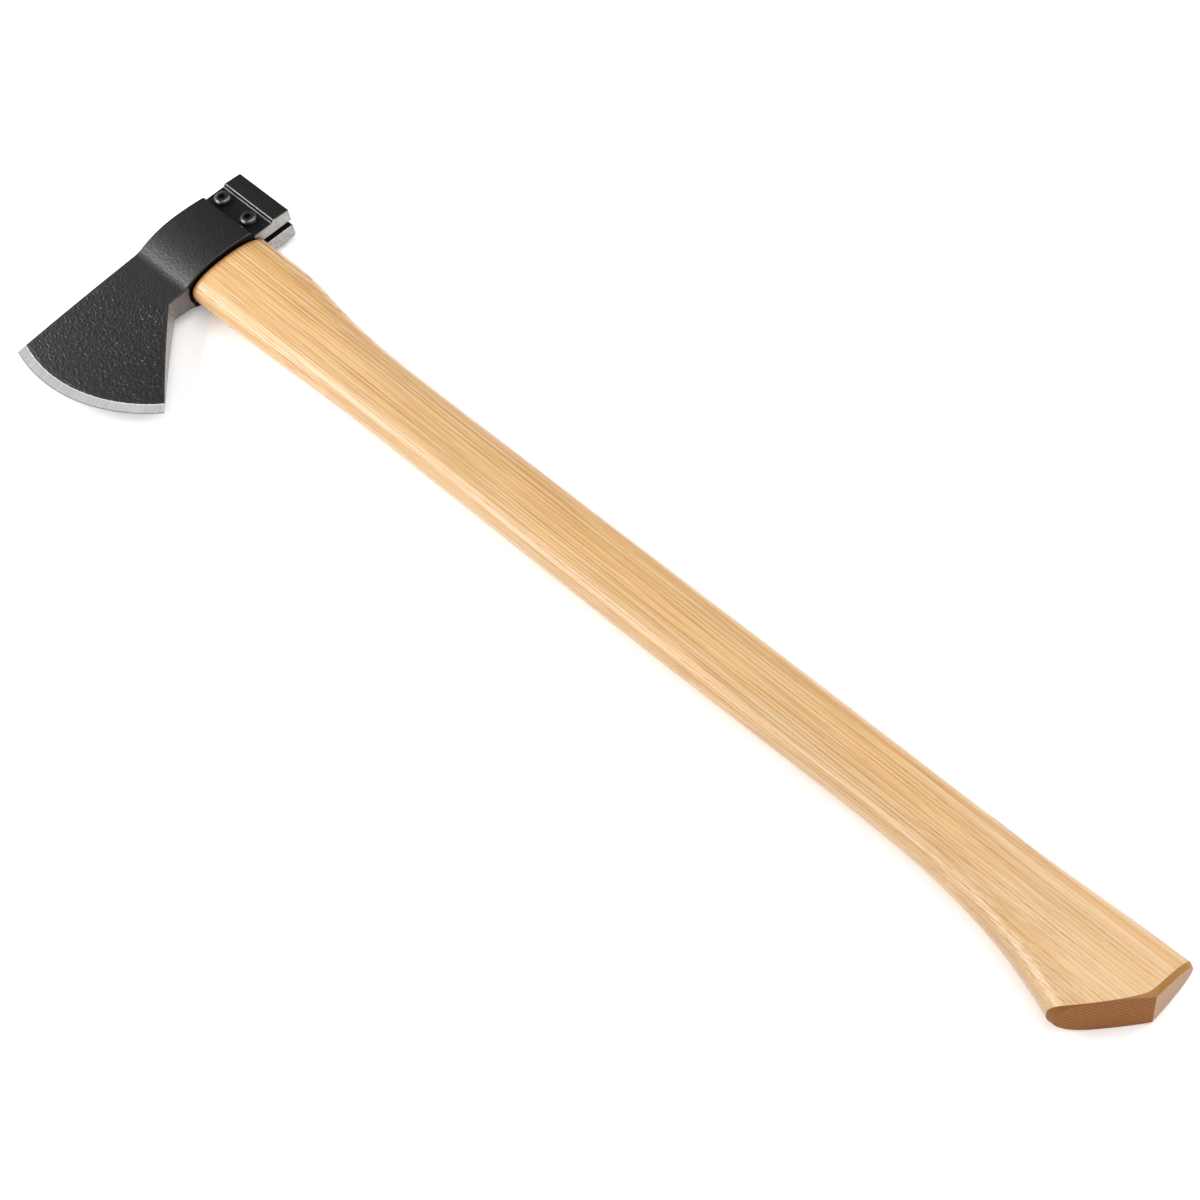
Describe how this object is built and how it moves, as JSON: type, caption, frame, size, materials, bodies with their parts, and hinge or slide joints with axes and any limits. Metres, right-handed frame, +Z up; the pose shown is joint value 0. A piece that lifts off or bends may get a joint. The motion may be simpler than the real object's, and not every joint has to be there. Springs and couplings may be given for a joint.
{
  "type": "felling axe",
  "caption": "Long-hafted felling axe: a black-coated forged head with a slit, screw-clamped poll on an oval hickory haft with a forward-swept butt.",
  "frame": {"origin": "centre of the bottom of the bounding box, with the axe lying on its right cheek", "axes": "+X along the haft from the head to the butt, +Y from the cutting edge to the poll, +Z up through the axe's thickness"},
  "size_m": [0.762, 0.1825, 0.0316],
  "materials": {
    "coated_steel": "satin black baked coating over a pebbled forged surface; cutting bevel and lower faces are bare ground steel",
    "hickory": "satin clear varnish on straight-grained pale hickory",
    "screw_steel": "black oxide, lightly oiled"
  },
  "bodies": {
    "axe_body": {"axe_head": "coated_steel", "haft": "hickory"},
    "screw_upper": {"clamp_screw_upper": "screw_steel"},
    "screw_lower": {"clamp_screw_lower": "screw_steel"},
    "nut_upper": {"clamp_nut_upper": "screw_steel"},
    "nut_lower": {"clamp_nut_lower": "screw_steel"}
  },
  "joints": [
    {"name": "screw_upper_turn", "type": "hinge", "parent": "axe_body", "child": "screw_upper", "pos_m": [-0.3717, 0.06985, 0.01579], "axis": [0, 0, 1], "range_deg": [0, 900]},
    {"name": "nut_upper_travel", "type": "slide", "parent": "axe_body", "child": "nut_upper", "axis": [0, 0, -1], "range_m": [0, 0.00317]},
    {"name": "screw_lower_turn", "type": "hinge", "parent": "axe_body", "child": "screw_lower", "pos_m": [-0.3458, 0.06985, 0.01579], "axis": [0, 0, 1], "range_deg": [0, 900]},
    {"name": "nut_lower_travel", "type": "slide", "parent": "axe_body", "child": "nut_lower", "axis": [0, 0, -1], "range_m": [0, 0.00317]}
  ],
  "couplings": [
    {"joint": "screw_upper_turn", "follows": "nut_upper_travel", "rad_per_m": 4947.4},
    {"joint": "screw_lower_turn", "follows": "nut_lower_travel", "rad_per_m": 4947.4}
  ]
}
